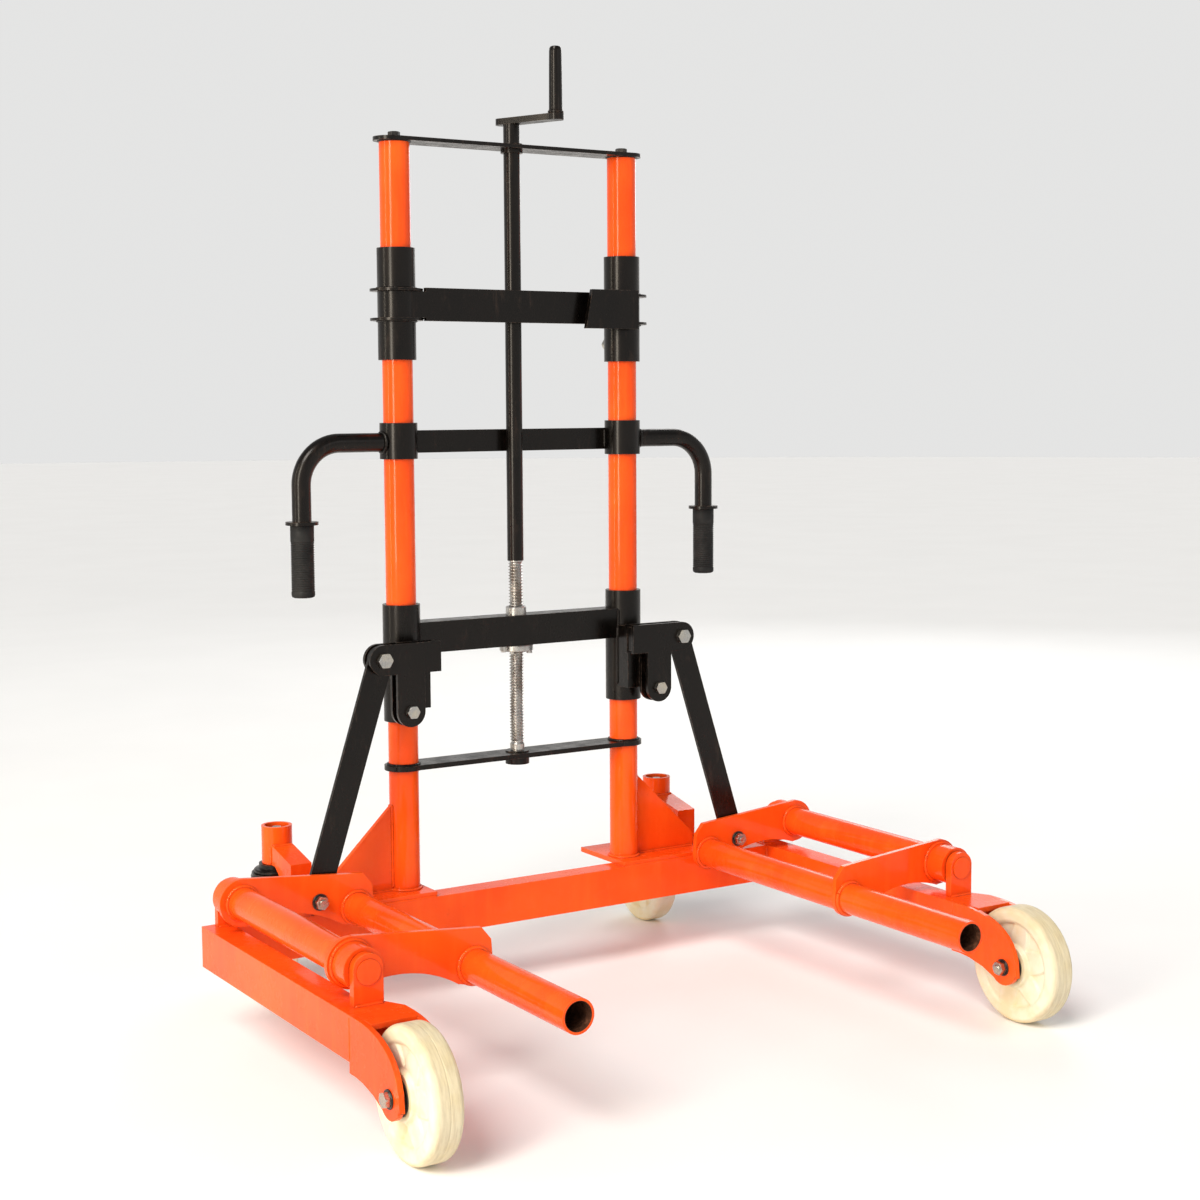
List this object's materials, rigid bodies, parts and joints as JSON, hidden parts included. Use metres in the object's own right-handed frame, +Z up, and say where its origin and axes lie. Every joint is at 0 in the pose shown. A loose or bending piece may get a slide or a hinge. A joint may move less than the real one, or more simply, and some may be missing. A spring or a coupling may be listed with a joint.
{
  "type": "wheel dolly",
  "caption": "Wheel dolly with a U-shaped base, a screw-driven lift that swings fork tubes under a truck wheel, a sliding tyre retainer and push handles.",
  "frame": {"origin": "on the floor, under the middle of the whole dolly", "axes": "+X to the dolly's right, +Y to its rear, away from the fork tube ends, +Z up"},
  "size_m": [1.152, 0.99, 1.523],
  "materials": {
    "orange_paint": "gloss",
    "black_paint": "satin",
    "zinc_steel": "satin",
    "nylon": "satin",
    "grip_rubber": "matte",
    "seal_rubber": "matte"
  },
  "bodies": {
    "frame": {"leg_left": "orange_paint", "leg_right": "orange_paint", "fork_plates": "orange_paint", "fork_bridges": "orange_paint", "pivot_lugs": "orange_paint", "pivot_shafts": "orange_paint", "rear_crossbeam": "orange_paint", "deck_plates": "orange_paint", "column_left": "orange_paint", "column_right": "orange_paint", "column_gussets": "orange_paint", "caster_arms": "orange_paint", "top_plate": "black_paint", "top_plate_bolts": "zinc_steel", "shaft_bearing": "black_paint", "screw_foot": "black_paint", "handle_sleeves": "black_paint", "handle_crossbar": "black_paint", "handle_left": "black_paint", "handle_right": "black_paint", "handle_grips": "grip_rubber", "front_axles": "zinc_steel", "kingpins": "zinc_steel"},
    "crank": {"crank_shaft": "black_paint", "lift_screw": "zinc_steel", "crank_lever": "black_paint"},
    "grip": {"crank_grip": "black_paint"},
    "lift_carriage": {"carriage_sleeves": "black_paint", "carriage_beam": "black_paint", "lift_nut": "zinc_steel", "carriage_cheeks": "black_paint", "carriage_pins": "zinc_steel"},
    "arm_left": {"pivot_tube_left": "orange_paint", "swing_plates_left": "orange_paint", "fork_tube_left": "orange_paint", "link_bolt_left": "zinc_steel"},
    "arm_right": {"pivot_tube_right": "orange_paint", "swing_plates_right": "orange_paint", "fork_tube_right": "orange_paint", "link_bolt_right": "zinc_steel"},
    "lift_link_left": {"link_left": "black_paint"},
    "lift_link_right": {"link_right": "black_paint"},
    "retainer": {"retainer_sleeves": "black_paint", "retainer_rings": "black_paint", "retainer_crossbar": "black_paint", "clamp_screws": "zinc_steel"},
    "bar": {"retaining_bar": "black_paint"},
    "wheel_left": {"front_wheel_left": "nylon", "wheel_bearings_left": "seal_rubber"},
    "wheel_right": {"front_wheel_right": "nylon", "wheel_bearings_right": "seal_rubber"},
    "swivel_left": {"caster_fork_left": "black_paint", "caster_axle_left": "zinc_steel"},
    "swivel_right": {"caster_fork_right": "black_paint", "caster_axle_right": "zinc_steel"},
    "rear_wheel_left": {"caster_wheel_left": "nylon"},
    "rear_wheel_right": {"caster_wheel_right": "nylon"},
    "pedal_left": {"brake_pedal_left": "black_paint"},
    "pedal_right": {"brake_pedal_right": "black_paint"}
  },
  "joints": [
    {"name": "crank_turn", "type": "hinge", "parent": "frame", "child": "crank", "pos_m": [0, 0.246, 1], "axis": [0, 0, 1], "range_deg": [-3024, 1080]},
    {"name": "grip_spin", "type": "hinge", "parent": "crank", "child": "grip", "pos_m": [0.03372, 0.16255, 1.45], "axis": [0, 0, 1], "continuous": true},
    {"name": "lift_slide", "type": "slide", "parent": "frame", "child": "lift_carriage", "axis": [0, 0, 1], "range_m": [-0.0421, 0.0151]},
    {"name": "arm_left_swing", "type": "hinge", "parent": "frame", "child": "arm_left", "pos_m": [-0.525, 0, 0.213], "axis": [0, -1, 0], "range_deg": [-18, 6.5]},
    {"name": "link_left_swing", "type": "hinge", "parent": "arm_left", "child": "lift_link_left", "pos_m": [-0.399, 0.178, 0.196], "axis": [0, -1, 0], "range_deg": [-6, 16.6]},
    {"name": "wheel_left_spin", "type": "hinge", "parent": "frame", "child": "wheel_left", "pos_m": [-0.525, -0.405, 0.09], "axis": [1, 0, 0], "continuous": true},
    {"name": "swivel_left_turn", "type": "hinge", "parent": "frame", "child": "swivel_left", "pos_m": [-0.375, 0.386, 0.2], "axis": [0, 0, 1], "continuous": true},
    {"name": "rear_wheel_left_spin", "type": "hinge", "parent": "swivel_left", "child": "rear_wheel_left", "pos_m": [-0.375, 0.42, 0.075], "axis": [1, 0, 0], "continuous": true},
    {"name": "pedal_left_press", "type": "hinge", "parent": "swivel_left", "child": "pedal_left", "pos_m": [-0.375, 0.432, 0.159], "axis": [1, 0, 0], "range_deg": [0, 12]},
    {"name": "arm_right_swing", "type": "hinge", "parent": "frame", "child": "arm_right", "pos_m": [0.525, 0, 0.213], "axis": [0, 1, 0], "range_deg": [-18, 6.5]},
    {"name": "link_right_swing", "type": "hinge", "parent": "arm_right", "child": "lift_link_right", "pos_m": [0.399, 0.178, 0.196], "axis": [0, 1, 0], "range_deg": [-6, 16.6]},
    {"name": "wheel_right_spin", "type": "hinge", "parent": "frame", "child": "wheel_right", "pos_m": [0.525, -0.405, 0.09], "axis": [1, 0, 0], "continuous": true},
    {"name": "swivel_right_turn", "type": "hinge", "parent": "frame", "child": "swivel_right", "pos_m": [0.375, 0.386, 0.2], "axis": [0, 0, 1], "continuous": true},
    {"name": "rear_wheel_right_spin", "type": "hinge", "parent": "swivel_right", "child": "rear_wheel_right", "pos_m": [0.375, 0.42, 0.075], "axis": [1, 0, 0], "continuous": true},
    {"name": "pedal_right_press", "type": "hinge", "parent": "swivel_right", "child": "pedal_right", "pos_m": [0.375, 0.432, 0.159], "axis": [1, 0, 0], "range_deg": [0, 12]},
    {"name": "retainer_slide", "type": "slide", "parent": "frame", "child": "retainer", "axis": [0, 0, 1], "range_m": [-0.095, 0.16]},
    {"name": "bar_swing", "type": "hinge", "parent": "retainer", "child": "bar", "pos_m": [-0.212, 0.246, 1.115], "axis": [0, 0, 1], "range_deg": [-110, 0]}
  ],
  "couplings": [
    {"joint": "lift_slide", "follows": "crank_turn", "m_per_rad": 0.00079577},
    {"joint": "arm_left_swing", "follows": "crank_turn", "ratio": 0.0059046},
    {"joint": "link_left_swing", "follows": "crank_turn", "ratio": -0.0054192},
    {"joint": "arm_right_swing", "follows": "crank_turn", "ratio": 0.0059046},
    {"joint": "link_right_swing", "follows": "crank_turn", "ratio": -0.0054192}
  ]
}
